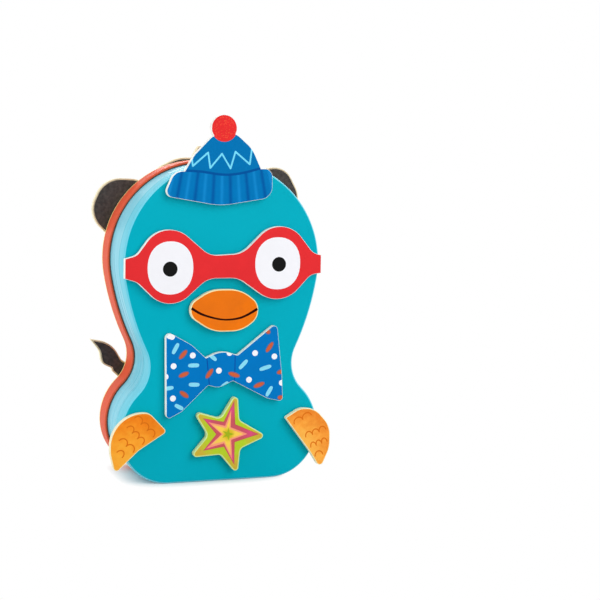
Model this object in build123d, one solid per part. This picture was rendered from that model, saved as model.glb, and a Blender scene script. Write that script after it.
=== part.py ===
from build123d import *
from math import acos, ceil, cos, degrees, radians, sin, tan
import os

# Shaped tin for a magnetic animal puzzle, stood on edge: a sheet steel wall ring, a press-on lid
# on the front and another on the back, and flat wooden pieces that hold to either lid by the
# magnetic foil on their backs. Millimetres, +Z up, the front faces -Y, and the origin is in the
# middle of the flat base.

# The case
case_depth = 63.2        # outer face of the front lid to outer face of the back lid
sheet = 0.4              # tin sheet
front_skirt = 14.0       # how far the front lid's rim reaches back from its face
back_skirt = 18.5        # the same for the back lid
face_edge = 0.6          # the drawn edge between a lid's face and its rim
hem_thickness = 1.6      # the teardrop hem of a lid's rim, measured inwards from its outside
hem_length = 3.0         # over which the hem runs back down to the bare sheet
lid_clearance = 0.35     # gap between a lid's hem and the wall
end_gap = 0.2            # between the wall's end and the inside of a lid's face
seam_width = 5.0         # the folded seam inside the wall, in the middle of the base
seam_thickness = 0.5

# Half of the case's outline, from the middle of the top round to the base, as tangent arcs of
# (radius, degrees turned, 1 where it bulges and -1 where it draws in). The last arc turns what
# is left of the half circle.
outline_arcs = [
    (63.0, 99.5, 1),     # head
    (166.0, 15.6, 1),    # flank
    (23.2, 70.6, -1),    # waist
    (35.3, 65.0, 1),     # hip
]
base_corner = 30.1

# The wooden pieces
wood = 4.0               # board
foil = 0.8               # magnetic foil
foil_margin = 1.0        # how far the foil's edge stays inside the board's
foil_sag = 0.9           # the foil's round edges are chords that leave the arc by up to this
shortest = 0.01          # an edge shorter than this is left out


def outline_path(inset):
    """(start, middle, end) of each arc of the half outline, this far inside the case's outside."""
    arcs = outline_arcs + [(base_corner, 180 - sum(turn * side for _, turn, side in outline_arcs), 1)]
    x, z, heading = 0.0, -inset, 0.0
    path = []
    for radius, turn, side in arcs:
        r = radius - side * inset
        centre = (x - side * r * sin(heading), z - side * r * cos(heading))
        steps = [heading + side * radians(turn) * share for share in (0.5, 1.0)]
        middle, end = [(centre[0] + side * r * sin(h), centre[1] + side * r * cos(h)) for h in steps]
        path.append(((x, z), middle, end))
        (x, z), heading = end, steps[1]
    return path


case_height = -outline_path(0)[-1][2][1]


def case_outline(inset):
    """The case's outline as a face in a lid's plane, drawn in by inset."""
    edges = []
    for side in (1, -1):
        for points in outline_path(inset):
            edges.append(ThreePointArc(*[(side * x, z + case_height) for x, z in points]))
        x, z = outline_path(inset)[-1][2]
        edges.append(Line((side * x, z + case_height), (0, z + case_height)))
    return make_face(edges)


# A lid's plane is its outer face, seen from outside, with x to the right.
FRONT = Plane(origin=(0, -case_depth / 2, 0), x_dir=(1, 0, 0), z_dir=(0, -1, 0))
BACK = Plane(origin=(0, case_depth / 2, 0), x_dir=(-1, 0, 0), z_dir=(0, 1, 0))


def slab(plane, inset, near, far):
    """The case's outline drawn in by inset, filled from near to far behind the plane."""
    return extrude(plane.offset(-near) * case_outline(inset), amount=near - far)


def ends(shape, plane):
    """The two flat ends of a slab, the one at the plane first."""
    faces = shape.faces().sort_by(Axis(plane.origin, plane.z_dir))
    return faces[-1], faces[0]


def lid(plane, skirt):
    """A drawn lid: a flat face, its edge, and a rim whose open end is hemmed inwards."""
    outside = slab(plane, 0, 0, skirt)
    outside = chamfer(ends(outside, plane)[0].edges(), face_edge)
    hollow = slab(plane, sheet, sheet, skirt)
    mouth = ends(hollow, plane)[1]
    hollow = chamfer(mouth.edges(), length=hem_thickness - sheet, length2=hem_length, reference=mouth)
    return outside - hollow


wall_inset = hem_thickness + lid_clearance
wall_start = sheet + end_gap


def wall():
    """The wall ring: one strip round the outline, folded to a seam in the middle of the base."""
    outside = slab(FRONT, wall_inset, wall_start, case_depth - wall_start)
    hollow = slab(FRONT, wall_inset + sheet, wall_start, case_depth - wall_start)
    seam_length = case_depth - 2 * wall_start
    seam = Box(seam_width, seam_length, seam_thickness, align=(Align.CENTER, Align.CENTER, Align.MIN))
    return outside - hollow + Pos(0, 0, wall_inset + sheet) * seam


# A wooden piece is a list of outlines that lie over each other. An outline is a list of corners,
# (x, z, radius), each rounded by an arc of that radius.
def disc(x, z, radius):
    """A round outline: a square whose corners are rounded all the way."""
    return [(x + i * radius, z + k * radius, radius) for i, k in ((-1, -1), (1, -1), (1, 1), (-1, 1))]


def ways(corners):
    """(corner, way back, way on, radius) of each corner, with the two ways as unit vectors."""
    points = [Vector(x, z) for x, z, _ in corners]
    for before, at, after, (_, _, radius) in zip(points[-1:] + points, points, points[1:] + points, corners):
        yield at, (before - at).normalized(), (after - at).normalized(), radius


def corner_arcs(corners):
    """(start, middle, end, turn in degrees) of the arc that rounds each corner."""
    arcs = []
    for at, back, on, radius in ways(corners):
        half = radians(back.get_angle(on)) / 2
        cut, reach = radius / tan(half), radius / sin(half) - radius
        middle = at + (back + on).normalized() * reach
        arcs.append((at + back * cut, middle, at + on * cut, 180 - 2 * degrees(half)))
    return arcs


def drawn_in(corners, margin):
    """The same outline with its edge moved inwards by margin."""
    turns = sum(x * after[1] - z * after[0] for (x, z, _), after in zip(corners, corners[1:] + corners[:1]))
    moved = []
    for at, back, on, radius in ways(corners):
        bulges = 1 if on.cross(back).Z * turns > 0 else -1
        half = radians(back.get_angle(on)) / 2
        at += (back + on).normalized() * (bulges * margin / sin(half))
        moved.append((at.X, at.Y, max(radius - bulges * margin, 0)))
    return moved


def smooth_face(corners):
    """The outline with true arcs, for a board."""
    edges = []
    arcs = corner_arcs(corners)
    for (start, middle, end, _), (following, _, _, _) in zip(arcs, arcs[1:] + arcs[:1]):
        if (end - start).length > shortest:
            edges.append(ThreePointArc(start, middle, end))
        if (following - end).length > shortest:
            edges.append(Line(end, following))
    return make_face(edges)


def chorded_face(corners):
    """The outline with each arc as a few chords and the smallest arcs as sharp corners, for foil."""
    points = []
    for (x, z, radius), (start, middle, end, turn) in zip(corners, corner_arcs(corners)):
        if radius <= foil_sag:
            points.append(Vector(x, z))
            continue
        arc = ThreePointArc(start, middle, end)
        count = ceil(turn / degrees(2 * acos(1 - foil_sag / radius)))
        points += [arc @ (i / count) for i in range(count + 1)]
    distinct = [p for p, q in zip(points, points[-1:] + points) if (p - q).length > shortest]
    return make_face(Polyline(*distinct, close=True))


# Front pieces, seen from the front with x to the right
def beanie():
    """A knitted hat: a crown that narrows to its pompom, above a turned-up brim."""
    crown = [
        (-29.2, 189.2, 0), (-21.0, 203.2, 12.0), (-9.0, 215.7, 9.0), (5.0, 217.2, 9.0), (16.0, 207.8, 20.0),
        (24.6, 189.6, 0),
    ]
    brim = [
        (-33.0, 193.2, 7.5), (-39.5, 178.4, 4.0), (-4.0, 172.6, 45.0), (29.6, 178.0, 8.0), (29.2, 195.9, 5.0),
    ]
    return [disc(-2.2, 220.0, 8.1), crown, brim]


def mask():
    """An eye mask with a round lens each side, a narrow bridge and a tab at each end."""
    upper = [
        (-63.2, 140.4, 0), (-55.8, 142.4, 8.0), (-38.8, 166.0, 17.5), (-10.3, 142.1, 14.0), (10.7, 143.2, 16.0),
        (36.7, 168.9, 18.0), (57.3, 143.4, 9.0), (62.7, 142.2, 0),
    ]
    lower = [
        (62.8, 130.7, 0), (56.1, 129.9, 9.0), (36.3, 108.7, 19.0), (8.3, 128.2, 16.0), (-11.4, 128.1, 15.0),
        (-35.2, 106.8, 17.0), (-55.5, 126.1, 8.0), (-63.2, 128.4, 0),
    ]
    return [upper + lower]


def beak():
    """An oval, a little fuller on its right."""
    return [[
        (-22.1, 104.4, 8.0), (-8.0, 95.0, 22.0), (11.2, 95.0, 20.0), (21.5, 103.0, 9.5), (21.5, 112.4, 8.5),
        (10.4, 121.2, 22.0), (-9.0, 121.2, 22.0), (-22.1, 112.9, 7.5),
    ]]


def bow_tie():
    return [[
        (-37.4, 96.4, 2.9), (-36.6, 41.0, 2.0), (-26.8, 45.9, 6.0), (-10.2, 61.8, 1.5), (-3.6, 59.8, 9.0),
        (5.9, 64.0, 0), (28.4, 52.1, 12.0), (38.9, 49.6, 2.0), (38.1, 66.0, 0), (34.1, 100.0, 2.4),
        (8.6, 79.9, 2.0), (-1.8, 83.3, 16.0), (-11.8, 78.8, 0), (-21.0, 87.2, 20.0),
    ]]


def star():
    """A five-pointed star, a little uneven, as in one that was drawn by hand."""
    tips = [(9.0, 57.7), (28.5, 28.0), (9.8, 4.0), (-21.5, 16.7), (-19.4, 45.9)]
    notches = [(10.3, 39.0), (11.3, 20.8), (-1.6, 17.7), (-9.8, 30.3), (-1.8, 40.4)]
    return [[(x, z, r) for tip, notch in zip(tips, notches) for (x, z), r in ((tip, 2.0), (notch, 3.8))]]


def wing_left():
    return [[
        (-68.5, 9.2, 2.0), (-71.5, 21.5, 20.0), (-71.4, 46.0, 20.0), (-47.3, 46.0, 7.0), (-36.0, 33.9, 2.0),
        (-53.8, 22.9, 15.0),
    ]]


def wing_right():
    return [[
        (41.0, 39.0, 1.0), (50.8, 44.8, 11.0), (61.1, 44.0, 13.0), (71.4, 32.5, 16.0), (71.4, 18.2, 18.0),
        (65.3, 4.9, 2.4), (57.6, 17.0, 12.0),
    ]]


# Back pieces, seen from behind with x to the right
def ear_left():
    return [[
        (-26.9, 179.6, 2.0), (-46.0, 194.8, 20.0), (-61.8, 196.4, 13.0), (-72.2, 177.5, 16.0),
        (-68.6, 160.2, 14.0), (-57.5, 151.4, 2.0),
    ]]


def ear_right():
    return [[
        (25.9, 175.0, 2.0), (36.4, 186.7, 16.0), (61.2, 187.4, 17.0), (71.9, 163.5, 16.0), (53.7, 145.8, 2.5),
    ]]


def beret():
    body = [
        (-29.2, 177.7, 8.0), (-28.1, 201.0, 13.5), (12.5, 201.2, 24.0), (31.5, 191.2, 11.0),
        (25.6, 177.3, 7.5), (5.0, 177.3, 12.0), (-11.0, 180.0, 12.0),
    ]
    stalk = [(-5.6, 195.0, 0), (-6.1, 208.9, 2.2), (-1.2, 208.9, 2.2), (5.2, 197.0, 0)]
    return [body, stalk]


def eye_left():
    return [disc(-29.4, 138.6, 13.1)]


def eye_right():
    return [disc(30.4, 135.0, 13.1)]


def muzzle():
    """The bridge of the nose, straight sided, that widens into a round muzzle."""
    bridge = [(-12.3, 149.5, 0), (-12.3, 118.0, 0), (12.3, 118.0, 0), (12.4, 149.5, 0)]
    round_end = [
        (-12.3, 125.2, 0), (-18.2, 121.4, 7.0), (-20.9, 106.4, 13.0), (-9.8, 93.2, 17.0), (9.2, 92.9, 17.0),
        (18.8, 104.2, 12.0), (17.4, 117.4, 9.0), (12.3, 125.0, 0),
    ]
    return [bridge, round_end]


def cheek_left():
    return [disc(-39.4, 105.3, 11.1)]


def cheek_right():
    return [disc(36.7, 103.3, 11.1)]


def ribbon_bow():
    """Three loops each side of a knot, with the tails hanging."""
    return [[
        (-29.7, 84.3, 0), (-29.4, 93.6, 5.0), (-17.0, 93.6, 8.0), (-6.0, 80.1, 2.5), (1.0, 78.4, 3.0),
        (13.0, 89.7, 10.0), (26.4, 89.0, 6.0), (23.9, 75.6, 0), (28.0, 68.0, 5.5), (20.9, 61.3, 0),
        (21.9, 49.4, 5.5), (9.4, 49.7, 0), (7.8, 44.9, 0), (-12.8, 44.6, 0), (-10.4, 58.0, 0),
        (-20.0, 55.3, 8.0), (-34.2, 57.0, 6.0), (-31.0, 69.7, 0), (-37.3, 80.6, 4.5),
    ]]


def paw_left():
    return [[
        (-60.4, 27.0, 0), (-42.0, 33.6, 12.0), (-34.2, 43.4, 6.0), (-20.0, 42.3, 7.5), (-25.6, 24.1, 9.0),
        (-54.2, 9.2, 0),
    ]]


def paw_right():
    return [[
        (21.4, 26.4, 6.5), (28.0, 37.0, 4.5), (57.0, 20.9, 0), (49.8, 4.3, 0), (40.8, 6.2, 5.0),
        (28.0, 15.8, 15.0),
    ]]


def paintbrush():
    """A handle that widens into its ferrule, with bristles that lean over to a point."""
    return [[
        (13.2, 34.9, 2.0), (17.1, 30.6, 2.2), (43.5, 50.6, 3.0), (55.0, 61.4, 0), (55.7, 63.6, 0),
        (62.2, 66.6, 5.0), (63.6, 75.0, 8.0), (69.6, 82.8, 0), (56.0, 80.4, 16.0), (49.2, 69.0, 3.0),
        (36.0, 60.4, 3.0),
    ]]


front_pieces = [beanie, mask, beak, bow_tie, star, wing_left, wing_right]
back_pieces = [
    beret, ear_left, ear_right, eye_left, eye_right, muzzle, cheek_left, cheek_right, ribbon_bow, paw_left,
    paw_right, paintbrush,
]

nodes = {
    "case_wall": wall(),
    "front_lid": lid(FRONT, front_skirt),
    "back_lid": lid(BACK, back_skirt),
}
for plane, pieces in ((FRONT, front_pieces), (BACK, back_pieces)):
    for piece in pieces:
        board = Sketch() + [smooth_face(corners) for corners in piece()]
        backing = Sketch() + [chorded_face(drawn_in(corners, foil_margin)) for corners in piece()]
        nodes[piece.__name__ + "_foil"] = extrude(plane * backing, amount=foil)
        nodes[piece.__name__] = extrude(plane.offset(foil) * board, amount=wood)

os.makedirs("parts", exist_ok=True)
for name, shape in nodes.items():
    export_step(shape, f"parts/{name}.step")
print("case height", round(case_height, 2), "nodes", len(nodes))
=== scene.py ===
import random
from math import atan2, cos, pi, radians, sin, tan

import bmesh
import bpy
from mathutils import Matrix, Vector
from mathutils.geometry import delaunay_2d_cdt


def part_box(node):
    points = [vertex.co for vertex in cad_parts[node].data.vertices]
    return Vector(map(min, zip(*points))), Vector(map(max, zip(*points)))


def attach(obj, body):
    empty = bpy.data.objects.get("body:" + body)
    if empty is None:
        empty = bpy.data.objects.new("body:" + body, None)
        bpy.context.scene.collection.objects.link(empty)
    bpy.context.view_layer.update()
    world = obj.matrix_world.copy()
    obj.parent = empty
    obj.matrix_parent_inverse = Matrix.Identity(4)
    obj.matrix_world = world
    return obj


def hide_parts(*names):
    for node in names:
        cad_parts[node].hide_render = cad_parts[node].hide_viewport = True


# A shaped tin on edge with flat wooden pieces held to both lids: the bird on the front (-Y), the
# bear on the back (+Y). Lengths are in millimetres until a point is placed. On either side, u
# runs to the right and v up as seen from that side, and w runs outwards from the middle plane.
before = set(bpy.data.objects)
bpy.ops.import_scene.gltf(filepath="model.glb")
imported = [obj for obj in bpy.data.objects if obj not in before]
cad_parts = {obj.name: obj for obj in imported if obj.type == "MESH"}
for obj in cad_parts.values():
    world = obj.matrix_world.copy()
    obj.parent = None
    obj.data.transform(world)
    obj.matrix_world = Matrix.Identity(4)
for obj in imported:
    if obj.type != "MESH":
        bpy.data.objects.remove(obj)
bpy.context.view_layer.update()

MM = 0.001
FRONT, BACK = 1, -1
same_point = 1e-6        # points of a CAD mesh nearer than this are one, in metres
same_level = 1e-5        # how near a flat face's points are to its level, in metres
crease = radians(40)     # an edge that turns by more than this stays sharp

# The tin
sheet = 0.4
hem = 1.6                # thickness of the hem that closes a lid's rim
hem_run = 3.0            # over which the hem runs back to the bare sheet
face_rings = 1.0, 0.3    # how far inside the drawn edge two rings hold the face flat
printed_turn = 2         # the face's print ends this many facets into the drawn edge
edge_round = {FRONT: 1.6, BACK: 2.2}    # radius of the drawn edge round each face
# on the back the edge's colour is a paler yellow than the face, a painted highlight on the drawn edge
edge_depth = {FRONT: 0.3, BACK: 1.0}    # how far the edge's colour runs on down the rim
wall_gap = 0.35          # between a lid's hem and the wall
wall_curl = 1.2          # thickness of the wall's own rolled ends
curl_run = 1.0           # over which a rolled end runs back to the bare sheet
seam_width = 5.0
seam_height = 0.5
seam_slope = 0.3         # how much the seam narrows on each side towards its top
seam_end = 1.5           # from the wall's rolled end to the seam
round_steps = 7          # facets in a quarter round of the tin

# The wooden pieces
soft_edge = 0.2          # radius of the sanded edge round a print
edge_steps = 4           # facets in that edge
foot_edge = 0.15         # the same on the back of the board
foil_inset = 1.0         # how far the foil stays inside the board's edge
foil_edge = 0.12


def place(side, u, v, w):
    """A point of a side, in metres in the frame."""
    return Vector((side * u, -side * w, v)) * MM


def levels(node):
    """Where a CAD node on either side of the tin starts and ends on its way out."""
    return sorted(abs(corner.y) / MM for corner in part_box(node))


# Outlines

def area(loop):
    """Twice the signed area of a closed outline, positive when it runs anticlockwise."""
    return sum(a[0] * b[1] - b[0] * a[1] for a, b in zip(loop, loop[1:] + loop[:1]))


def anticlockwise(loop):
    return loop if area(loop) > 0 else loop[::-1]


def outline(node, side, w):
    """The outer edge of the CAD node's flat face at this w, as (u, v) points from the leftmost."""
    mesh = bmesh.new()
    mesh.from_mesh(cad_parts[node].data)
    bmesh.ops.remove_doubles(mesh, verts=mesh.verts, dist=same_point)
    level = -side * w * MM
    flat = {f for f in mesh.faces if all(abs(v.co.y - level) < same_level for v in f.verts)}
    following = {}
    for face in flat:
        for corner in face.loops:
            if not any(other in flat for other in corner.edge.link_faces if other is not face):
                following[corner.vert] = corner.link_loop_next.vert
    loops = []
    while following:
        start, at = following.popitem()
        loop = [start]
        while at is not start:
            loop.append(at)
            at = following.pop(at)
        loops.append(anticlockwise([(side * v.co.x / MM, v.co.z / MM) for v in loop]))
    mesh.free()
    loop = max(loops, key=area)
    first = loop.index(min(loop))
    return loop[first:] + loop[:first]


def inset(loop, distance):
    """The outline moved inwards by distance. The limit keeps a sharp corner from running away."""
    limit = 0.3
    moved = []
    for a, b, c in zip(loop[-1:] + loop, loop, loop[1:] + loop[:1]):
        before = Vector((a[1] - b[1], b[0] - a[0])).normalized()
        after = Vector((b[1] - c[1], c[0] - b[0])).normalized()
        shift = (before + after) * (distance / max(1 + before.dot(after), limit))
        moved.append((b[0] + shift.x, b[1] + shift.y))
    return moved


# Meshes

class Shape:
    """A mesh in the making on one side of the tin, with materials called by name."""

    def __init__(self, side):
        self.side = side
        self.mesh = bmesh.new()
        self.materials = {}

    def ring(self, loop, w):
        return [self.mesh.verts.new(place(self.side, u, v, w)) for u, v in loop]

    def face(self, corners, material):
        made = self.mesh.faces.new(corners)
        made.material_index = self.materials.setdefault(material, len(self.materials))
        made.smooth = True

    def band(self, one, other, material):
        for a, b, c, d in zip(one, one[1:] + one[:1], other[1:] + other[:1], other):
            self.face((a, b, c, d), material)

    def finish(self, name, body, slot, *nodes):
        """Turns the mesh into a piece that rides on the body and stands for the nodes."""
        bmesh.ops.recalc_face_normals(self.mesh, faces=self.mesh.faces)
        for edge in self.mesh.edges:
            edge.smooth = len(edge.link_faces) != 2 or edge.calc_face_angle() < crease
        data = bpy.data.meshes.new(name)
        self.mesh.to_mesh(data)
        self.mesh.free()
        for material in self.materials:
            data.materials.append(paint(material))
        piece = bpy.data.objects.new(name, data)
        bpy.context.scene.collection.objects.link(piece)
        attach(piece, body)
        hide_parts(*nodes)


def swept(shape, full, profile):
    """Rings along an outline for (inset, w, material) stops, with bands between them."""
    rings = [shape.ring(inset(full, inwards), w) for inwards, w, _ in profile]
    for one, other, (_, _, material) in zip(rings, rings[1:], profile[1:]):
        shape.band(one, other, material)
    return rings


def quarter(radius, steps):
    """(along, across) of a quarter round from flat to upright."""
    turns = [radians(90) * i / steps for i in range(steps + 1)]
    return [(radius * (1 - sin(turn)), radius * (1 - cos(turn))) for turn in turns]


# Patterns cut into the prints. Each is a closed outline of (u, v) points.

def oval(u, v, across, up=None, power=2.0, count=40):
    """An ellipse, or with a higher power one with fuller shoulders."""
    up = up or across
    points = []
    for i in range(count):
        c, s = cos(2 * pi * i / count), sin(2 * pi * i / count)
        fuller = (abs(c) ** power + abs(s) ** power) ** (-1 / power)
        points.append((u + across * c * fuller, v + up * s * fuller))
    return points


def dash(a, b, width, round_count=8):
    """A short line with round ends."""
    along = atan2(b[1] - a[1], b[0] - a[0])
    points = []
    for end, start in ((b, -90), (a, 90)):
        for i in range(round_count + 1):
            turn = along + radians(start + 180 * i / round_count)
            points.append((end[0] + width / 2 * cos(turn), end[1] + width / 2 * sin(turn)))
    return points


def inked(ink, points, width):
    """Prints of a line through the points, one dash for each of its runs."""
    return [(ink, dash(a, b, width)) for a, b in zip(points, points[1:])]


def curve(points, steps=6):
    """More points on a smooth curve through these."""
    smooth = []
    padded = points[:1] + list(points) + points[-1:]
    for p, q, r, s in zip(padded, padded[1:], padded[2:], padded[3:]):
        for i in range(steps):
            t = i / steps
            smooth.append(tuple(
                0.5 * (2 * q[k] + (r[k] - p[k]) * t + (2 * p[k] - 5 * q[k] + 4 * r[k] - s[k]) * t ** 2
                       + (3 * q[k] - p[k] - 3 * r[k] + s[k]) * t ** 3) for k in (0, 1)))
    return smooth + points[-1:]


def swelling(points, middle, ends):
    """A line through the points, with one width in its middle and another at its ends."""
    left, right = [], []
    last = len(points) - 1
    for i, point in enumerate(points):
        along = (Vector(points[min(i + 1, last)]) - Vector(points[max(i - 1, 0)])).normalized()
        width = middle + (ends - middle) * abs(2 * i / last - 1)
        across = Vector((-along.y, along.x)) * (width / 2)
        left.append(tuple(Vector(point) + across))
        right.append(tuple(Vector(point) - across))
    return left + right[::-1]


def fleck(start, end, extra, width, power):
    """A closed stroke that runs on by extra at both ends. A low power gives a leaf, and a high
    one a bar with soft corners."""
    a, b = Vector(start), Vector(end)
    way = (b - a).normalized() * extra
    a, b = a - way, b + way
    along = (b - a).normalized()
    across = Vector((-along.y, along.x))
    middle = a.lerp(b, 0.5)
    flat = oval(0, 0, (b - a).length / 2, width / 2, power, 28)
    return [tuple(middle + along * x + across * y) for x, y in flat]


def lick(start, end, width, bend):
    """A hair: wide at its start, pointed at its end, and bent sideways by a share of its length."""
    a, b = Vector(start), Vector(end)
    across = Vector((a.y - b.y, b.x - a.x)).normalized()
    bow = across * (bend * (b - a).length)
    steps = 5
    left, right = [], []
    for i in range(steps):
        t = i / steps
        middle = a.lerp(b, t) + bow * (4 * t * (1 - t))
        half = across * (width / 2 * (1 - t))
        left.append(tuple(middle + half))
        right.append(tuple(middle - half))
    return left + [tuple(b)] + right[::-1]


def every(points, step):
    """Places a step apart along a line, each with the way that it runs there."""
    places, spare = [], 0.0
    for a, b in zip(points, points[1:]):
        run = Vector(b) - Vector(a)
        way = run.normalized()
        at = step - spare
        while at <= run.length:
            places.append((tuple(Vector(a) + way * at), way))
            at += step
        spare = (spare + run.length) % step
    return places


def sector(centre, a, b, reach):
    """The wedge between the ways from the centre to a and to b."""
    middle = Vector(centre)
    return [centre] + [tuple(middle + (Vector(end) - middle).normalized() * reach) for end in (a, b)]


def star_shape(u, v, ways, reach, notch):
    """A star whose tips point these ways, in degrees."""
    points = []
    for tip, following in zip(ways, ways[1:] + ways[:1]):
        for way, far in ((tip, reach), (tip - (tip - following) % 360 / 2, notch)):
            points.append((u + far * cos(radians(way)), v + far * sin(radians(way))))
    return points


def petal(base, tip, width, share=1.0):
    """A loop of ribbon from its base to its tip. A smaller share nests inside a larger one."""
    heart, waist, swell, count = 0.62, 0.42, 0.72, 36
    a, b = Vector(base), Vector(tip)
    focus = a.lerp(b, heart)
    a, b = focus + (a - focus) * share, focus + (b - focus) * share
    axis = b - a
    across = Vector((-axis.y, axis.x)).normalized() * (width / 2 * share)
    points = []
    for i in range(count):
        turn = 2 * pi * i / count
        along = (1 - cos(turn)) / 2
        points.append(tuple(a + axis * along + across * (sin(turn) * (waist + swell * along))))
    return points


def humps(ink, start, end, count, height):
    """Prints of a row of round scallops from start to end, in fine lines."""
    line, facets = 0.75, 8
    a, b = Vector(start), Vector(end)
    step = (b - a) / count
    rise = Vector((-step.y, step.x)).normalized() * height
    prints = []
    for i in range(count):
        points = []
        for k in range(facets + 1):
            turn = pi * k / facets
            along = (1 - cos(turn)) / 2
            points.append(tuple(a + step * (i + along) + rise * sin(turn)))
        prints += inked(ink, points, line)
    return prints


# Boards

def printed_cap(cap, prints):
    """The cap cut along its prints: its points, its triangles with the print on top of each, and
    which of its own points each one was."""
    points = [Vector(p) for p in cap]
    faces = [list(range(len(cap)))]
    for _, shape in prints:
        shape = anticlockwise(list(shape))
        faces.append(list(range(len(points), len(points) + len(shape))))
        points += [Vector(p) for p in shape]
    inside_only, tolerance = 1, 1e-4
    cut = delaunay_2d_cdt(points, [], faces, inside_only, tolerance, True)
    spots, triangles, was, owners = cut[0], cut[2], cut[3], cut[5]
    kept = [(corners, max(over)) for corners, over in zip(triangles, owners) if 0 in over]
    return spots, kept, [min(ids) if ids else len(points) for ids in was]


def rim_of(kept):
    """The triangles' outer edge, as point numbers in order."""
    following = {}
    for corners, _ in kept:
        for a, b in zip(corners, corners[1:] + corners[:1]):
            following[a, b] = True
    ahead = {a: b for a, b in following if (b, a) not in following}
    start = next(iter(ahead))
    loop = [start]
    while ahead[loop[-1]] != start:
        loop.append(ahead[loop[-1]])
    return loop


def outwards(spots, rim, was, cap, loop):
    """Where each point of the rim lies on the full outline, straight out from the cap."""
    first = next(i for i, at in enumerate(rim) if was[at] < len(cap))
    rim = rim[first:] + rim[:first]
    out = []
    for at in rim:
        if was[at] < len(cap):
            last = was[at]
            out.append(loop[last])
            continue
        following = (last + 1) % len(cap)
        a, b = Vector(cap[last]), Vector(cap[following])
        share = (spots[at] - a).length / (b - a).length
        out.append(tuple(Vector(loop[last]).lerp(Vector(loop[following]), share)))
    return rim, out


def board(name, side, slot, base, prints, border=None):
    """A printed wooden piece with a sanded edge, and the foil on its back. A border is an ink and
    a width round the print, and the material of the cut side and of the sanded edge."""
    low, high = levels(name)
    full = outline(name, side, high)
    edge, cut_side = {FRONT: ("board_edge", "board_side"), BACK: ("warm_edge", "warm_side")}[side]
    if border:
        border_ink, border_width, cut_side = border
        edge = cut_side
        prints = [(base, inset(full, border_width))] + prints
        base = border_ink
    cap = inset(full, soft_edge)
    spots, kept, was = printed_cap(cap, prints)
    rim, full_rim = outwards(spots, rim_of(kept), was, cap, full)
    names = [base] + [material for material, _ in prints]
    shape = Shape(side)
    top = {at: shape.mesh.verts.new(place(side, *spots[at], high))
           for at in sorted({at for corners, _ in kept for at in corners})}
    for corners, owner in kept:
        shape.face([top[at] for at in corners], names[owner])
    before = [top[at] for at in rim]
    cap_rim = [tuple(spots[at]) for at in rim]
    stops = [(inwards, high - down, edge) for inwards, down in quarter(soft_edge, edge_steps)[1:]]
    stops += [(0, low + foot_edge, cut_side), (foot_edge, low, edge)]
    for inwards, w, material in stops:
        share = 1 - inwards / soft_edge
        loop = [tuple(Vector(a).lerp(Vector(b), share)) for a, b in zip(cap_rim, full_rim)]
        after = shape.ring(loop, w)
        shape.band(before, after, material)
        before = after
    shape.face(before, "board_back")
    shape.finish(name + "_board", name, slot, name)
    backing(name, side, full)


def backing(name, side, full):
    """The magnetic foil under a board."""
    low, high = levels(name + "_foil")
    shape = Shape(side)
    stops = [(foil_inset, high), (foil_inset, low + foil_edge), (foil_inset + foil_edge, low)]
    rings = swept(shape, full, [stop + ("foil",) for stop in stops])
    shape.face(rings[0], "foil")
    shape.face(rings[-1], "foil")
    shape.finish(name + "_magnet", name, "magnet_foil", name + "_foil")


# The tin

def rolled(outside, thickness, end, way, material):
    """Stops round a rolled end, from the outside inwards. The end is at w, and way is 1 where the
    sheet runs towards a larger w."""
    turns = [pi * i / (2 * round_steps) for i in range(2 * round_steps + 1)]
    half = thickness / 2
    return [(outside + half * (1 - cos(turn)), end + way * half * (1 - sin(turn)), material)
            for turn in turns]


def lid(name, side, slot, face_material, edge_material, rim_material, hem_material):
    """A drawn lid: face, drawn edge, rim and the hem rolled inwards at its open end."""
    rim, face = levels(name)
    full = outline(name, side, rim)
    radius = edge_round[side]
    profile = [(radius + ring, face, face_material) for ring in face_rings]
    for i, (inwards, down) in enumerate(quarter(radius, round_steps)):
        profile.append((inwards, face - down, face_material if i <= printed_turn else edge_material))
    profile.append((0, face - radius - edge_depth[side], edge_material))
    profile.append((0, rim + hem, rim_material))
    profile += rolled(0, hem, rim, 1, hem_material)
    profile.append((sheet, rim + hem_run, "tinplate"))
    for inwards, down in quarter(radius - sheet, round_steps)[::-1]:
        profile.append((sheet + inwards, face - sheet - down, "tinplate"))
    profile.append((radius + face_rings[-1], face - sheet, "tinplate"))
    shape = Shape(side)
    rings = swept(shape, full, profile)
    shape.face(rings[0], face_material)
    shape.face(rings[-1], "tinplate")
    shape.finish(name + "_tin", name, slot, name)


def wall():
    """The wall ring with its rolled ends, and the folded seam in its base."""
    near, far = sorted(-corner.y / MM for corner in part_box("case_wall"))
    full = outline("front_lid", FRONT, levels("front_lid")[0])
    outside = hem + wall_gap
    inner = outside + sheet
    profile = rolled(outside, wall_curl, near, 1, "wall_blue")[::-1]
    profile += rolled(outside, wall_curl, far, -1, "wall_blue")
    profile.append((inner, far - wall_curl - curl_run, "tinplate"))
    profile.append((inner, near + wall_curl + curl_run, "tinplate"))
    shape = Shape(FRONT)
    rings = swept(shape, full, profile)
    shape.band(rings[-1], rings[0], "tinplate")
    half, top = seam_width / 2, inner + seam_height
    narrow = half - seam_slope
    section = [(-half, inner), (half, inner), (narrow, top), (-narrow, top)]
    reach = wall_curl + seam_end
    ends = [shape.ring(section, w) for w in (near + reach, far - reach)]
    shape.band(*ends, "tinplate")
    for end in ends:
        shape.face(end, "tinplate")
    shape.finish("case_wall_tin", "case", "sky_tin", "case_wall")


# Materials

def linear(colour):
    """An sRGB colour from 0 to 255 as a linear one with alpha."""
    shares = [channel / 255 for channel in colour]
    return [s / 12.92 if s <= 0.04045 else ((s + 0.055) / 1.055) ** 2.4 for s in shares] + [1.0]


def shade(colour, share):
    """The colour made darker, or with a share above 1 lighter."""
    return tuple(min(255.0, channel * share) for channel in colour)


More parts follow.
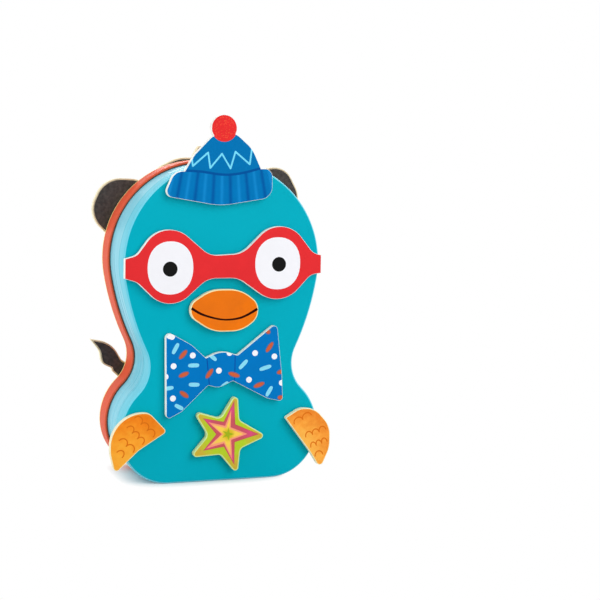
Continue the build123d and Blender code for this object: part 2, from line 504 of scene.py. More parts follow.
def add_node(tree, kind, inputs=None, **settings):
    """A shader node whose inputs are joined to sockets or set to values."""
    made = tree.nodes.new("ShaderNode" + kind)
    for key, value in settings.items():
        setattr(made, key, value)
    for key, value in (inputs or {}).items():
        if isinstance(value, bpy.types.NodeSocket):
            tree.links.new(value, made.inputs[key])
        else:
            made.inputs[key].default_value = value
    return made


def add_vector(tree, operation, one, other):
    return add_node(tree, "VectorMath", {0: one, 1: other}, operation=operation).outputs[0]


usual = 0.3, 0.7         # what most of the finishes use of a noise's range


class Finish:
    """A material's nodes, with the object's own coordinates to hand."""

    def __init__(self, name, roughness, specular):
        self.material = bpy.data.materials.new(name)
        self.material.use_nodes = True
        self.tree = self.material.node_tree
        self.shader = self.tree.nodes["Principled BSDF"]
        self.shader.inputs["Specular IOR Level"].default_value = specular
        self.shader.inputs["Roughness"].default_value = roughness
        self.where = self.node("TexCoord").outputs["Object"]

    def node(self, kind, inputs=None, **settings):
        return add_node(self.tree, kind, inputs, **settings)

    def maths(self, operation, one, other):
        return self.node("Math", {0: one, 1: other}, operation=operation).outputs[0]

    def spread(self, value, low, high, to_low, to_high):
        made = self.node("MapRange", {"Value": value, "From Min": low, "From Max": high,
                                      "To Min": to_low, "To Max": to_high})
        return made.outputs["Result"]

    def noise(self, scale, detail, where=None):
        inputs = {"Vector": where or self.where, "Scale": scale, "Detail": detail}
        return self.node("TexNoise", inputs).outputs["Fac"]

    def grain(self, across, deep, up, detail):
        """A noise with its own scale along each axis."""
        mapped = self.node("Mapping", {"Vector": self.where, "Scale": (across, deep, up)})
        return self.noise(1.0, detail, mapped.outputs["Vector"])

    def mix(self, factor, *colours):
        """Between two colours, each a socket or an sRGB triple."""
        one, other = [c if isinstance(c, bpy.types.NodeSocket) else linear(c) for c in colours]
        return self.node("Mix", {0: factor, 6: one, 7: other}, data_type="RGBA").outputs[2]

    def toned(self, value, span, colour, *shares):
        """From one shade of the colour to another, while the value runs over the span."""
        return self.mix(self.spread(value, *span, 0, 1), *[shade(colour, share) for share in shares])

    def away(self, side, u, v, across=1.0, up=1.0):
        """The distance from a point of a print, in steps of across and up millimetres."""
        offset = add_vector(self.tree, "SUBTRACT", self.where, (side * u * MM, 0, v * MM))
        steps = add_vector(self.tree, "MULTIPLY", offset, (1 / (across * MM), 0, 1 / (up * MM)))
        return self.node("VectorMath", {0: steps}, operation="LENGTH").outputs["Value"]

    def frayed(self, distance, scale, fray):
        return self.maths("ADD", distance, self.spread(self.noise(scale, 3.0), *usual, -fray, fray))

    def join(self, name, socket):
        self.tree.links.new(socket, self.shader.inputs[name])

    def bump(self, height, strength, distance):
        made = self.node("Bump", {"Height": height, "Strength": strength, "Distance": distance})
        self.join("Normal", made.outputs["Normal"])


def print_finish(name, colour, pattern=None):
    """Printed paper on board: a matt ink with a fine grain and faint mottling."""
    made = Finish(name, 0.5, 0.03)
    grain = made.noise(2600, 1.0)
    depth = 0.02 if name in white_inks else 0.06
    mottle = made.spread(made.noise(90, 3.0), *usual, 0, depth)
    darker = made.maths("ADD", mottle, made.spread(grain, *usual, 0, depth / 2))
    ink = pattern(made, colour) if pattern else colour
    made.join("Base Color", made.mix(darker, ink, (0, 0, 0)))
    made.join("Roughness", made.spread(grain, *usual, 0.44, 0.58))
    made.bump(grain, 0.12, 0.00004)
    return made.material


def tin_finish(name, colour, gloss, painted_streak, shine):
    """Printed and lacquered tinplate: smooth, with lighter lines along the wall and the rims that are a
    painted reflection.
    """
    made = Finish(name, gloss, shine)
    painted_streaks = made.grain(10, 190, 10, 3.0)
    # painted reflection: the colour goes towards white in long lines along the wall
    painted_reflection = tuple(channel + (255 - channel) * painted_streak for channel in colour)
    made.join("Base Color", made.mix(made.spread(painted_streaks, 0.38, 0.62, 0, 1), colour, painted_reflection))
    made.join("Roughness", made.spread(painted_streaks, *usual, gloss - 0.05, gloss + 0.06))
    made.bump(made.noise(900, 2.0), 0.06, 0.00004)
    return made.material


def tinplate(name, colour):
    """Bare tinplate on the inside, with the grain of the rolled sheet."""
    made = Finish(name, 0.34, 0.5)
    made.shader.inputs["Metallic"].default_value = 1.0
    grain = made.grain(30, 900, 30, 4.0)
    made.join("Base Color", made.toned(grain, usual, colour, 0.9, 1.05))
    made.join("Roughness", made.spread(grain, *usual, 0.26, 0.42))
    made.bump(grain, 0.1, 0.00005)
    return made.material


def board_finish(name, colour):
    """The cut edge of pale board, with fine fibres along it."""
    made = Finish(name, 0.7, 0.06)
    fibres = made.grain(260, 2400, 260, 2.0)
    pale = made.toned(fibres, (0.35, 0.65), colour, 0.93, 1.02)
    flecks = made.spread(made.noise(1500, 2.0), 0.55, 0.8, 0, 0.2)
    made.join("Base Color", made.mix(flecks, pale, (222, 204, 176)))
    made.bump(fibres, 0.25, 0.00008)
    return made.material


def foil_finish(name, colour):
    """Dark magnetic rubber with a fine bloom."""
    made = Finish(name, 0.62, 0.35)
    made.join("Base Color", made.toned(made.noise(500, 3.0), (0.35, 0.7), colour, 0.8, 1.35))
    made.bump(made.noise(1800, 2.0), 0.2, 0.00006)
    return made.material


# Patterns within an ink. Each takes the finish and the ink's colour, and gives a colour back.

def ribs(made, colour):
    """Soft knitted ribs that fan out from a point far above the brim."""
    apex_across, apex_up, rib = -0.0032, 0.330, 0.0741
    crest, valley = (16, 136, 206), (0, 92, 164)
    axes = made.node("SeparateXYZ", {0: made.where}).outputs
    down = made.maths("SUBTRACT", apex_up, axes["Z"])
    fan = made.maths("DIVIDE", made.maths("SUBTRACT", axes["X"], apex_across), down)
    wave = made.maths("COSINE", made.maths("MULTIPLY", fan, 2 * pi / rib), 0.0)
    height = made.spread(wave, -1, 1, 0, 1)
    lit = made.mix(made.maths("POWER", height, 12.0), colour, crest)
    return made.mix(made.maths("POWER", made.maths("SUBTRACT", 1.0, height), 9.0), lit, valley)


def specks(light, scale, share):
    """Small lighter specks."""
    def pattern(made, colour):
        spots = made.node("TexVoronoi", {"Vector": made.where, "Scale": scale, "Randomness": 1.0})
        near = made.spread(spots.outputs["Distance"], 0.12, 0.34, share, 0.0)
        return made.mix(near, colour, light)
    return pattern


def tinted(u, v, side, stops, fray):
    """Other colours by the distance from a point, as (near, far, colour) in millimetres, with the
    edge between them frayed as if by a brush."""
    def pattern(made, colour):
        distance = made.frayed(made.away(side, u, v), 260, fray)
        for near, far, other in stops:
            colour = made.mix(made.spread(distance, near, far, 0, 1), colour, other)
        return colour
    return pattern


def glow(u, v, side, across, up, inner):
    """A soft patch of another colour round a point, frayed along its edge."""
    def pattern(made, colour):
        distance = made.frayed(made.away(side, u, v, across, up), 420, 0.16)
        patch = made.toned(made.noise(700, 2.0), (0.35, 0.65), inner, 1.0, 1.12)
        return made.mix(made.spread(distance, 0.62, 1.02, 1.0, 0.0), colour, patch)
    return pattern


def brush_marks(other, across, up):
    """Long faint strokes of a second colour."""
    def pattern(made, colour):
        marks = made.grain(across, 1, up, 3.0)
        return made.mix(made.spread(marks, 0.42, 0.68, 0, 1), colour, other)
    return pattern


white_inks = ("eye_white", "tie_white")
inks = {
    "hat_blue": (0, 115, 180), "hat_brim": (0, 119, 187), "hat_shadow": (0, 84, 156),
    "hat_zigzag": (120, 222, 250), "pompom": (232, 48, 48), "mask_red": (230, 48, 52),
    "eye_white": (242, 242, 247), "eye_black": (23, 23, 23), "beak_orange": (237, 118, 20),
    "beak_line": (44, 10, 4), "tie_blue": (0, 119, 195), "tie_fold": (10, 70, 160),
    "tie_sky": (138, 222, 246), "tie_orange": (208, 96, 60), "tie_haze": (118, 98, 128),
    "tie_white": (245, 245, 250), "star_lime": (184, 210, 46), "star_rose": (196, 88, 84),
    "star_pink": (206, 88, 100), "star_salmon": (254, 162, 122), "star_yellow": (222, 194, 40),
    "star_core": (166, 184, 34), "star_border": (212, 236, 146), "pale_border": (250, 228, 158),
    "cream_border": (253, 240, 206), "left_wing_orange": (255, 176, 56),
    "right_wing_orange": (255, 186, 80), "wing_line": (222, 112, 20),
    "beret_teal": (0, 160, 160), "beret_dark": (0, 76, 88), "flower_mint": (112, 214, 182),
    "flower_lime": (196, 232, 122), "ear_left_fur": (240, 112, 20),
    "ear_right_fur": (240, 112, 20), "hair_dark": (52, 10, 26), "hair_plum": (120, 44, 66),
    "hair_rose": (248, 164, 164), "hair_pink": (252, 146, 146), "hair_amber": (252, 150, 66),
    "hair_cream": (255, 190, 136), "hair_lilac": (214, 130, 168), "bear_yellow": (250, 187, 3),
    "bear_black": (30, 28, 28), "cheek_pink": (238, 140, 160), "ribbon_teal": (4, 165, 160),
    "ribbon_deep_teal": (10, 128, 140), "ribbon_mint": (120, 214, 196),
    "ribbon_crimson": (228, 44, 96), "ribbon_deep_crimson": (200, 28, 72),
    "ribbon_rose": (240, 62, 108), "ribbon_light_red": (252, 118, 128),
    "ribbon_pink": (236, 96, 150), "ribbon_deep_pink": (208, 78, 140),
    "ribbon_blush": (248, 150, 180), "ribbon_lilac": (196, 122, 186),
    "ribbon_amber": (252, 176, 60), "ribbon_lime": (196, 216, 88),
    "ribbon_cream": (250, 236, 220), "paw_orange": (238, 140, 46), "paw_line": (84, 32, 10),
    "paw_light": (255, 184, 108), "brush_red": (236, 74, 62), "brush_cream": (250, 222, 158),
    "brush_band": (226, 170, 100), "brush_black": (34, 31, 31),
}
ear_inside = (240, 140, 132)
patterns = {
    "hat_brim": ribs,
    "pompom": specks((255, 112, 66), 900, 0.75),
    "star_lime": tinted(2.2, 30.6, FRONT, [(13, 21, (208, 178, 62))], 2.0),
    "star_pink": tinted(2.2, 30.6, FRONT, [(10, 15, (222, 82, 128)), (16, 20, (206, 94, 98))], 1.0),
    "star_salmon": tinted(2.2, 30.6, FRONT, [(10, 16, (255, 144, 124))], 1.0),
    "star_yellow": tinted(3.1, 30.4, FRONT, [(2, 5, (255, 214, 84)), (7, 12, (255, 196, 112))], 0.8),
    "beak_orange": tinted(-4, 118, FRONT, [(2, 14, (234, 116, 22)), (14, 24, (242, 120, 16))], 4.0),
    "left_wing_orange": tinted(-60, 13, FRONT, [(8, 22, (250, 152, 40)), (20, 34, (242, 128, 26))], 5.0),
    "right_wing_orange": tinted(46, 14, FRONT, [(13, 22, (252, 164, 62)), (21, 30, (240, 138, 46))], 4.0),
    "ear_left_fur": glow(-49.5, 174.0, BACK, 15.5, 15.5, ear_inside),
    "ear_right_fur": glow(50.0, 167.0, BACK, 15.5, 15.5, ear_inside),
    "cheek_pink": brush_marks((228, 138, 186), 420, 300),
    "paw_orange": glow(-40, 24, BACK, 14, 10, (242, 128, 44)),
    "brush_red": brush_marks((230, 66, 56), 260, 420),
}
# The other materials, each as its maker and what that takes after the name
finishes = {
    # the tin finishes take a colour, a roughness, the strength of their painted reflection lines and a
    # specular level
    "teal_face": (tin_finish, (0, 170, 190), 0.34, 0.008, 0.03),
    "cyan_rim": (tin_finish, (106, 205, 227), 0.32, 0.12, 0.03),
    "wall_blue": (tin_finish, (120, 207, 228), 0.3, 0.16, 0.1),
    # the front hem: teal like the lid, made deeper than the rim as painted shade of the gap behind it
    "teal_hem": (tin_finish, (70, 188, 208), 0.32, 0.04, 0.03),
    "yellow_face": (tin_finish, (249, 185, 2), 0.34, 0.008, 0.03),
    # painted highlight: the back lid's drawn edge in a paler yellow than its face
    "pale_edge": (tin_finish, (252, 224, 146), 0.36, 0.02, 0.02),
    "coral_rim": (tin_finish, (226, 92, 62), 0.36, 0.04, 0.02),
    "tinplate": (tinplate, (196, 198, 200)),
    "board_edge": (board_finish, (242, 250, 252)),
    "board_side": (board_finish, (254, 251, 243)),
    "warm_edge": (board_finish, (254, 240, 206)),
    "warm_side": (board_finish, (254, 242, 208)),
    "lime_side": (board_finish, (222, 240, 176)),
    "board_back": (board_finish, (232, 212, 178)),
    "foil": (foil_finish, (52, 48, 46)),
}


def paint(name):
    """The material of this name, made when it is first asked for."""
    if name in bpy.data.materials:
        return bpy.data.materials[name]
    if name in inks:
        return print_finish(name, inks[name], patterns.get(name))
    maker, *values = finishes[name]
    return maker(name, *values)


# Front prints: the ink of the ground, the prints on it, and a border where there is one

def beanie():
    """A pompom, a crown with a zigzag, and a ribbed brim under a sagging band."""
    band_line, zigzag_line = 1.5, 1.05
    sag = curve([
        (-27.5, 193.9), (-16.5, 193.4), (-5.0, 191.9), (3.0, 191.9), (12.0, 193.4), (23.0, 196.4)])
    brim = [(-46.0, 193.9)] + sag + [(36.0, 197.5), (36.0, 165.0), (-46.0, 165.0)]
    zigzag = [
        (-22.6, 201.8), (-21.8, 196.7), (-12.3, 205.0), (-10.8, 195.7), (-3.5, 204.4), (2.1, 195.6),
        (5.1, 205.8), (14.4, 198.3), (15.8, 209.0),
    ]
    prints = [("hat_brim", brim)]
    prints += inked("hat_shadow", sag, band_line)
    prints += inked("hat_zigzag", zigzag, zigzag_line)
    prints.append(("pompom", oval(-2.2, 220.0, 8.3)))
    return "hat_blue", prints


def mask():
    """Two eyes printed on the mask."""
    fuller = 2.2
    return "mask_red", [
        ("eye_white", oval(-35.0, 134.8, 14.3, 16.2, fuller)), ("eye_black", oval(-35.2, 134.1, 4.6)),
        ("eye_white", oval(33.9, 137.1, 14.8, 16.3, fuller)), ("eye_black", oval(34.7, 136.5, 4.6)),
    ]


def beak():
    """A smile from edge to edge."""
    smile = curve([(-21.5, 109.9), (-13.7, 105.6), (-1.1, 102.5), (10.7, 103.6), (21.1, 108.8)])
    middle, ends = 1.05, 1.7
    prints = [("beak_line", swelling(smile, middle, ends))]
    return "beak_orange", prints, ("pale_border", 0.6, "warm_side")


def bow_tie():
    """Scattered dots and dashes, and the two folds beside the knot."""
    dot, fold_line = 1.85, 0.55
    dots = [
        (-35.1, 93.1), (-33.6, 92.6), (-20.3, 80.7), (-32.4, 74.4), (-3.4, 70.7), (-32.6, 54.4),
        (20.0, 81.0), (32.8, 78.5), (16.3, 64.3), (3.3, 81.6), (-37.4, 68.0), (38.0, 61.6),
    ]
    sky = [
        ((-30.1, 87.5), (-32.5, 83.0)), ((-22.0, 74.5), (-17.3, 74.5)), ((-21.5, 62.6), (-16.9, 62.4)),
        ((-10.2, 81.6), (-6.0, 77.9)), ((14.2, 76.0), (10.6, 72.2)), ((24.2, 70.7), (29.7, 72.3)),
        ((31.0, 58.6), (28.5, 54.4)), ((-38.6, 60.4), (-33.4, 61.1)), ((-30.3, 49.8), (-27.0, 48.0)),
        ((-0.9, 60.6), (1.9, 62.6)),
    ]
    orange = [
        ((-24.9, 83.2), (-28.0, 79.7)), ((-23.9, 69.7), (-27.9, 68.2)), ((-27.2, 57.9), (-23.8, 55.4)),
        ((-8.1, 71.0), (-10.9, 67.2)), ((4.0, 68.7), (9.0, 67.0)), ((31.0, 86.6), (28.0, 82.4)),
        ((25.3, 61.6), (20.6, 60.0)), ((27.8, 94.8), (28.6, 94.0)), ((35.8, 68.2), (38.6, 69.0)),
        ((36.6, 52.2), (38.8, 52.2)),
    ]
    folds = [[(-11.4, 80.0), (-10.1, 68.2), (-9.3, 60.5)], [(7.0, 81.5), (6.9, 68.0), (6.6, 62.0)]]
    prints = [shape for fold in folds for shape in inked("tie_fold", curve(fold, 3), fold_line)]
    for ends in sky:
        prints.append(("tie_sky", fleck(*ends, 1.15, 2.5, 3.2)))
    for ends in orange:
        prints.append(("tie_haze", fleck(*ends, 1.4, 3.3, 2.0)))
        prints.append(("tie_orange", fleck(*ends, 1.0, 2.3, 2.0)))
    prints += [("tie_white", oval(u, v, dot)) for u, v in dots]
    return "tie_blue", prints


def star():
    """A pink star in the lime one, a salmon and yellow one in that, and a soft core."""
    rose_line = 0.5
    pink = [
        (6.9, 51.6), (7.8, 36.5), (23.6, 29.4), (7.6, 25.1), (7.6, 10.5), (0.5, 22.5),
        (-12.9, 20.7), (-4.6, 30.7), (-13.4, 41.3), (0.1, 38.4),
    ]
    salmon = [
        (5.0, 45.8), (4.8, 34.7), (15.9, 29.9), (5.3, 26.7), (6.2, 13.7), (0.6, 24.7),
        (-10.8, 22.0), (-1.0, 30.6), (-9.8, 38.6), (1.2, 35.7),
    ]
    yellow = [
        (4.6, 42.6), (4.0, 33.8), (13.2, 30.0), (4.4, 27.6), (5.2, 17.0), (0.9, 26.0),
        (-7.7, 24.2), (0.1, 30.5), (-7.3, 37.0), (1.9, 34.2),
    ]
    core = star_shape(3.1, 30.4, (84, -2, -80, -150, 146), 4.2, 1.4)
    return "star_lime", [
        ("star_rose", pink), ("star_pink", inset(anticlockwise(pink), rose_line)),
        ("star_salmon", salmon), ("star_yellow", yellow), ("star_core", core),
    ], ("star_border", 0.65, "lime_side")


def wing(ink, height, rows):
    """Feather scallops of this height, in rows that each have a start, an end and a count."""
    prints = [shape for row in rows for shape in humps("wing_line", *row, height)]
    return ink, prints, ("pale_border", 0.45, "warm_side")


def wing_left():
    return wing("left_wing_orange", 3.0, [
        ((-56.4, 43.4), (-44.7, 31.0), 3), ((-61.2, 37.6), (-51.4, 26.8), 3),
        ((-65.9, 29.9), (-57.2, 22.2), 2), ((-67.2, 22.8), (-64.0, 19.2), 1),
    ])


def wing_right():
    return wing("right_wing_orange", 2.8, [
        ((47.0, 34.9), (58.4, 40.2), 2), ((55.0, 26.0), (68.6, 30.4), 3),
        ((58.6, 19.2), (69.6, 22.6), 3), ((61.6, 13.3), (66.8, 14.3), 1),
    ])


# Back prints

def beret():
    """A small flower, and the stitches of the hem."""
    u, v, petals = -22.2, 188.4, 9
    prints = []
    for i in range(petals):
        way = 2 * pi * (i + 0.25) / petals
        near, far = [(u + reach * cos(way), v + reach * sin(way)) for reach in (1.5, 6.2)]
        prints.append(("flower_mint", petal(near, far, 2.1)))
        prints.append(("beret_teal", petal(near, far, 0.9, 0.7)))
    prints.append(("flower_lime", star_shape(u, v, tuple(range(70, -290, -60)), 3.0, 1.2)))
    hem_top, hem_inside, stitch_step, stitch, thread = 183.0, 0.6, 2.7, 1.1, 1.25
    whole = inset(outline("beret", BACK, levels("beret")[1]), hem_inside)
    for (u, v), way in every(sorted(point for point in whole if point[1] < hem_top), stitch_step):
        prints.append(("beret_dark", dash((u, v), (u - way.y * stitch, v + way.x * stitch), thread, 4)))
    return "beret_teal", prints


def hairs(cut, ways, count, depth, lengths, width, shades, dice):
    """Hairs that start near the cut edge of an ear. Along it their way turns from the first to the
    second, in degrees, and their length runs through three values."""
    near, middle, far = lengths
    prints = []
    for i in range(count):
        share = (i + dice.uniform(0.1, 0.9)) / count
        turn = radians(ways[0] + (ways[1] - ways[0]) * share + dice.uniform(-8, 8))
        way = Vector((cos(turn), sin(turn)))
        start = Vector(cut[0]).lerp(Vector(cut[1]), share) + way * dice.uniform(*depth)
        if share < 0.5:
            length = near + (middle - near) * 2 * share
        else:
            length = middle + (far - middle) * (2 * share - 1)
        end = start + way * length * dice.uniform(0.7, 1.05)
        hair = lick(start, end, width * dice.uniform(0.75, 1.15), dice.uniform(-0.07, 0.07))
        prints.append((dice.choice(shades), hair))
    return prints


def ear(ink, cut, ways, lengths, seed):
    """Fine pale hairs that fan out inside an ear, and a dense row of dark ones at its root."""
    dice = random.Random(seed)
    wider = 1.2      # how far the pale hairs fan out beyond the dark ones, as a share of their fan
    one, other = ways
    fan = (one * (1 + wider) - other * wider, other * (1 + wider) - one * wider)
    rows = [
        (fan, 44, (8, 17), (9, 10, 9), 0.6, ("hair_pink", "hair_amber", "hair_cream")),
        (fan, 26, (3, 8), (10, 12, 10), 0.6, ("hair_pink", "hair_rose")),
        (ways, 11, (3, 7), [length * 0.8 for length in lengths], 1.1, ("hair_plum",)),
        (ways, 19, (-1, 3), lengths, 1.7, ("hair_dark",)),
        (ways, 9, (1, 5), [length * 0.6 for length in lengths], 0.6, ("hair_lilac",)),
    ]
    return ink, [hair for row in rows for hair in hairs(cut, *row, dice)]


def ear_left():
    cut = [(-51.6, 158.2), (-35.4, 172.2)]
    return ear("ear_left_fur", cut, (138, 118), (15, 15, 6), 11)


def ear_right():
    cut = [(48.4, 152.4), (36.2, 166.6)]
    return ear("ear_right_fur", cut, (22, 44), (7, 15, 6), 21)


def eye(u, v):
    """A pupil on white."""
    return "eye_white", [("eye_black", oval(u, v, 4.3))], ("cream_border", 0.8, "warm_side")


def muzzle():
    """A yellow bridge with a line down one side, a black nose and a mouth."""
    side_width, mouth_width = 1.4, 2.0
    bridge = [(-16.0, 126.4), (16.0, 126.4), (16.0, 153.0), (-16.0, 153.0)]
    tufts, rises = 7, (0.8, 1.2, 0.6)
    top = []
    for i in range(2 * tufts + 1):
        rise = rises[i // 2 % 3] if i % 2 else 0.0
        top.append((-11.3 + 21.7 * i / (2 * tufts), 127.0 + rise))
    nose = top + curve([
        (10.5, 125.5), (8.2, 119.4), (3.9, 115.6), (-1.2, 114.4), (-6.2, 115.8), (-10.1, 119.4),
        (-11.6, 125.6)])
    smile = curve([
        (-16.2, 111.7), (-12.0, 107.9), (-7.0, 104.7), (-1.2, 103.7), (5.4, 104.9), (11.8, 108.7)])
    prints = [("bear_yellow", bridge)]
    prints += inked("bear_black", [(11.7, 148.8), (11.5, 138.0), (10.4, 127.0)], side_width)
    prints.append(("bear_black", nose))
    prints += inked("bear_black", smile, mouth_width)
    prints += inked("bear_black", [(-1.6, 115.0), (-2.2, 104.3)], mouth_width)
    return "eye_white", prints, ("cream_border", 1.0, "warm_side")


def cheek():
    """A plain disc."""
    return "cheek_pink", []


def ribbon_bow():
    """Six loops of striped ribbon, their tails, and the knot over them."""
    teal = ("mint", "teal", "deep_teal", "teal", "mint", "lime")
    crimson = ("light_red", "crimson", "deep_crimson", "rose", "blush", "amber")
    pink = ("blush", "pink", "deep_pink", "pink", "blush", "amber")
    loops = [
        (((2.5, 77.4), (27.6, 84.4), 7.0), ((7.4, 77.9), (20.4, 82.2), 1.9), pink),
        (((-7.9, 66.8), (-34.6, 60.6), 6.8), ((-10.8, 67.6), (-29.2, 63.6), 2.3), pink),
        (((0.6, 67.2), (21.0, 48.4), 9.2), ((3.4, 65.6), (16.2, 54.0), 2.0), crimson),
        (((-6.4, 77.6), (-30.9, 90.2), 6.9), ((-10.4, 79.4), (-25.4, 88.9), 2.6), teal),
        (((-7.4, 71.6), (-37.2, 77.0), 6.6), ((-14.8, 73.6), (-30.8, 77.9), 1.7), crimson),
        (((1.4, 71.2), (28.0, 68.2), 7.8), ((5.0, 71.2), (20.9, 67.6), 2.2), teal),
    ]
    bands, hole_edge, fullness, crease_line = (1.0, 0.92, 0.74, 0.62), 0.6, 0.85, 0.6
    tails = [
        ("deep_crimson", -15.5, -9.0, -11.4, -7.0), ("mint", -12.4, -7.2, -10.9, -6.2),
        ("deep_teal", -11.2, -6.4, -7.4, -4.4), ("lilac", -7.8, -4.8, -3.4, -2.2),
        ("cream", -3.7, -2.6, -2.3, -1.8), ("deep_teal", -2.5, -2.0, 0.2, -0.6),
        ("crimson", -0.2, -1.0, 3.6, 1.0), ("blush", 3.2, 0.6, 4.4, 1.6),
        ("pink", 4.0, 1.2, 6.2, 2.6), ("crimson", 6.0, 2.4, 9.5, 4.0),
    ]
    tail_end, tail_top = 43.5, 66.0
    knot, beyond = (-3.6, 72.0), 60
    notches = [
        (-1.8, 80.0), (-29.7, 84.3), (-31.0, 69.7), (-10.4, 58.0), (9.4, 49.7), (20.9, 61.3), (23.9, 75.6),
        (-1.8, 80.0),
    ]
    under = ("teal", "crimson", "pink", "pink", "crimson", "teal", "pink")
    prints = [(ink, sector(knot, a, b, beyond)) for ink, a, b in zip(under, notches, notches[1:])]

    def loop(outer, opening, stripes):
        (base, tip, half), (start, end, hole) = outer, opening
        shapes = [petal(base, tip, 2 * half / fullness, share) for share in bands]
        shapes += [petal(start, end, 2 * (hole + more) / fullness) for more in (hole_edge, 0.0)]
        return list(zip(stripes, shapes))

    for parts in loops[:3]:
        prints += loop(*parts)
    for ink, low_left, high_left, low_right, high_right in tails:
        ends = [(low_left, tail_end), (low_right, tail_end), (high_right, tail_top), (high_left, tail_top)]
        prints.append((ink, ends))
    for parts in loops[3:]:
        prints += loop(*parts)
    prints.append(("crimson", [(-7.0, 79.6), (-10.6, 74.0), (3.0, 74.6), (1.4, 78.4)]))
    prints += inked("blush", curve([(-6.0, 77.2), (-2.0, 76.4), (1.6, 76.8)]), crease_line)
    prints.append(("pink", [(-9.9, 75.2), (-9.2, 68.9), (2.4, 68.9), (2.8, 75.6)]))
    prints.append(("teal", [
        (-9.2, 69.0), (-8.0, 66.0), (-4.4, 62.6), (-1.0, 64.0), (2.4, 67.0), (2.6, 69.2)]))
    prints += inked("mint", curve([(-8.2, 67.4), (-3.0, 66.6), (2.2, 67.8)]), 0.7)
    prints += inked("lilac", [(-9.2, 69.3), (2.5, 69.2)], crease_line)
    return "ribbon_pink", [("ribbon_" + ink, shape) for ink, shape in prints]


def paw(claws, marks, rise):
    """Two claw lines, and a few pale dashes that rise or fall to the right."""
    claw_line, reach = 1.35, 0.6
    prints = [("paw_light", dash((u - reach, v - rise), (u + reach, v + rise), 1.0)) for u, v in marks]
    return "paw_orange", prints + [shape for claw in claws for shape in inked("paw_line", claw, claw_line)]


def paw_left():
    marks = [
        (-47.3, 28.3), (-38.3, 29.7), (-44.5, 24.3), (-34.7, 24.4), (-44.0, 18.7), (-53.1, 22.2),
        (-51.4, 15.2),
    ]
    return paw([[(-28.5, 40.9), (-35.1, 34.4)], [(-25.1, 35.9), (-31.3, 28.9)]], marks, 0.4)


def paw_right():
    marks = [(38.4, 26.8), (36.5, 21.8), (32.5, 16.6), (45.9, 18.7), (44.7, 12.7), (48.7, 23.4)]
    claws = [[(26.5, 32.9), (29.4, 31.2), (31.9, 28.6)], [(23.2, 28.2), (29.3, 23.6)]]
    return paw(claws, marks, -0.4)


def paintbrush():
    """A red handle, a cream ferrule with its band, and black bristles."""
    top, foot = (31.5, 62.7), (45.5, 47.5)
    bristle_ends = [(46.5, 71.6), (56.5, 60.1)]
    handle = [(8.0, 26.0), (18.0, 22.0), foot, top, (6.0, 36.0)]
    ferrule = [top, foot, (52.0, 52.0), bristle_ends[1], bristle_ends[0], (40.0, 70.0)]
    prints = [("brush_red", handle), ("brush_cream", ferrule)]
    return "brush_black", prints + inked("brush_band", [(33.6, 63.6), (47.2, 48.8)], 0.5)


# the front lid's hem is a deeper teal than its rim, painted shade of the gap under the lid's edge
lid("front_lid", FRONT, "teal_tin", "teal_face", "cyan_rim", "cyan_rim", "teal_hem")
# the back lid's drawn edge is a paler yellow, a painted highlight
lid("back_lid", BACK, "yellow_tin", "yellow_face", "pale_edge", "coral_rim", "coral_rim")
wall()
board("beanie", FRONT, "hat_board", *beanie())
board("mask", FRONT, "mask_board", *mask())
board("beak", FRONT, "beak_board", *beak())
board("bow_tie", FRONT, "bow_tie_board", *bow_tie())
board("star", FRONT, "star_board", *star())
board("wing_left", FRONT, "wing_board", *wing_left())
board("wing_right", FRONT, "wing_board", *wing_right())
board("beret", BACK, "beret_board", *beret())
board("ear_left", BACK, "ear_board", *ear_left())
board("ear_right", BACK, "ear_board", *ear_right())
board("eye_left", BACK, "eye_board", *eye(-23.1, 138.8))
board("eye_right", BACK, "eye_board", *eye(35.5, 135.1))
board("muzzle", BACK, "muzzle_board", *muzzle())
board("cheek_left", BACK, "cheek_board", *cheek())
board("cheek_right", BACK, "cheek_board", *cheek())
board("ribbon_bow", BACK, "ribbon_board", *ribbon_bow())
board("paw_left", BACK, "paw_board", *paw_left())
board("paw_right", BACK, "paw_board", *paw_right())
board("paintbrush", BACK, "brush_board", *paintbrush())


# Camera: the large view of the photo

aim_at = Vector((0, 0, 0.1))     # the middle of the tin, in metres


def add_camera():
    """Turned about the middle of the tin, then aimed beside it, as the photo is framed."""
    azimuth, elevation, roll = radians(16.43), radians(6.77), radians(1.20)
    aside, above = radians(3.659), radians(0.720)
    distance, up = 0.920, Vector((0, 0, 1))
    away = Vector((-sin(azimuth) * cos(elevation), -cos(azimuth) * cos(elevation), sin(elevation)))
    right = (-away).cross(up).normalized()
    above_it = right.cross(-away)
    aim = (-away + right * tan(aside) + above_it * tan(above)).normalized()
    level = aim.cross(up).normalized()
    upright = level.cross(aim)
    x_axis = level * cos(roll) + upright * sin(roll)
    y_axis = upright * cos(roll) - level * sin(roll)
    data = bpy.data.cameras.new("camera")
    data.sensor_width = 36.0
    data.lens = 85.8
    camera = bpy.data.objects.new("camera", data)
    turned = Matrix((x_axis, y_axis, -aim)).transposed().to_4x4()
    camera.matrix_world = Matrix.Translation(aim_at + away * distance) @ turned
    bpy.context.scene.collection.objects.link(camera)
    bpy.context.scene.camera = camera


# Light and floor

def seen_directly(tree):
    """1 where a camera, glossy or transmission ray looks, and 0 for the light itself."""
    path = add_node(tree, "LightPath").outputs
    total = path["Is Camera Ray"]
    for name in ("Is Glossy Ray", "Is Transmission Ray"):
        total = add_node(tree, "Math", {0: total, 1: path[name]}, operation="MAXIMUM").outputs[0]
    return total


def cleared(owner):
    """The owner's node tree, emptied."""
    owner.use_nodes = True
    owner.node_tree.nodes.clear()
    return owner.node_tree


def add_world(level):
    """Even white light of this level, seen as plain white."""
    world = bpy.data.worlds.new("studio")
    bpy.context.scene.world = world
    tree = cleared(world)
    soft, white = [
        add_node(tree, "Background", {"Color": (1, 1, 1, 1), "Strength": strength}).outputs[0]
        for strength in (level, 1.0)]
    mixed = add_node(tree, "MixShader", {0: seen_directly(tree), 1: soft, 2: white})
    add_node(tree, "OutputWorld", {0: mixed.outputs[0]})


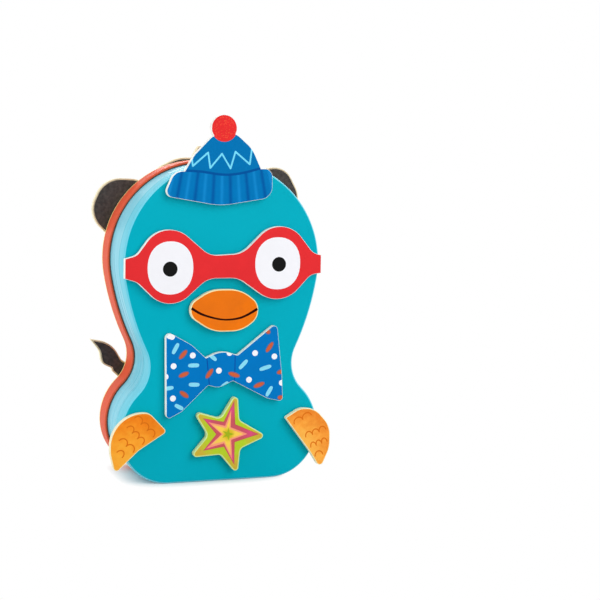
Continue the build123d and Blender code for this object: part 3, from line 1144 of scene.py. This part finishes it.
def add_floor():
    """A pale floor that is white where nothing shades it, and away from the object."""
    half, below = 3.0, -0.0001
    lit, seen = 0.72, 0.95      # how pale it is for the light, and where it is looked at
    middle, reach = (-0.0075, 0, 0), (0.0545, 0.042, 1)      # of the patch that shows the shade
    fade_from, fade_to = 0.24, 1.0
    data = bpy.data.meshes.new("floor")
    corners = [(-half, -half, below), (half, -half, below), (half, half, below), (-half, half, below)]
    data.from_pydata(corners, [], [(0, 1, 2, 3)])
    floor = bpy.data.objects.new("floor", data)
    bpy.context.scene.collection.objects.link(floor)
    material = bpy.data.materials.new("floor")
    tree = cleared(material)
    plain, bright = [
        add_node(tree, "BsdfDiffuse", {"Color": (tone, tone, tone, 1)}).outputs[0]
        for tone in (lit, seen)]
    beside = add_vector(tree, "SUBTRACT", add_node(tree, "TexCoord").outputs["Object"], middle)
    squeezed = add_vector(tree, "DIVIDE", beside, reach)
    squared = add_vector(tree, "MULTIPLY", squeezed, squeezed)
    away = add_node(tree, "VectorMath", {0: squared, 1: squared}, operation="DOT_PRODUCT").outputs["Value"]
    faded = add_node(tree, "MapRange", {"Value": away, "From Min": fade_from, "From Max": fade_to})
    white = add_node(tree, "Emission", {"Strength": 1.0}).outputs[0]
    shown = add_node(tree, "MixShader", {0: faded.outputs["Result"], 1: bright, 2: white}).outputs[0]
    mixed = add_node(tree, "MixShader", {0: seen_directly(tree), 1: plain, 2: shown})
    add_node(tree, "OutputMaterial", {0: mixed.outputs[0]})
    data.materials.append(material)


def add_lamp(name, location, size, power):
    """A square soft lamp that faces the object."""
    data = bpy.data.lights.new(name, "AREA")
    data.size = size
    data.energy = power
    lamp = bpy.data.objects.new(name, data)
    lamp.location = location
    lamp.rotation_euler = (Vector(location) - aim_at).to_track_quat("Z", "Y").to_euler()
    bpy.context.scene.collection.objects.link(lamp)


add_camera()
add_world(0.55)
add_floor()
add_lamp("key", (0.9, -1.8, 1.2), 1.6, 26)
add_lamp("back_key", (0.9, 1.8, 1.2), 1.6, 26)
add_lamp("side", (-2.0, -0.1, 0.3), 0.9, 18)
add_lamp("top", (0.0, 0.0, 2.2), 2.0, 6)
bpy.context.scene.view_settings.view_transform = "Standard"
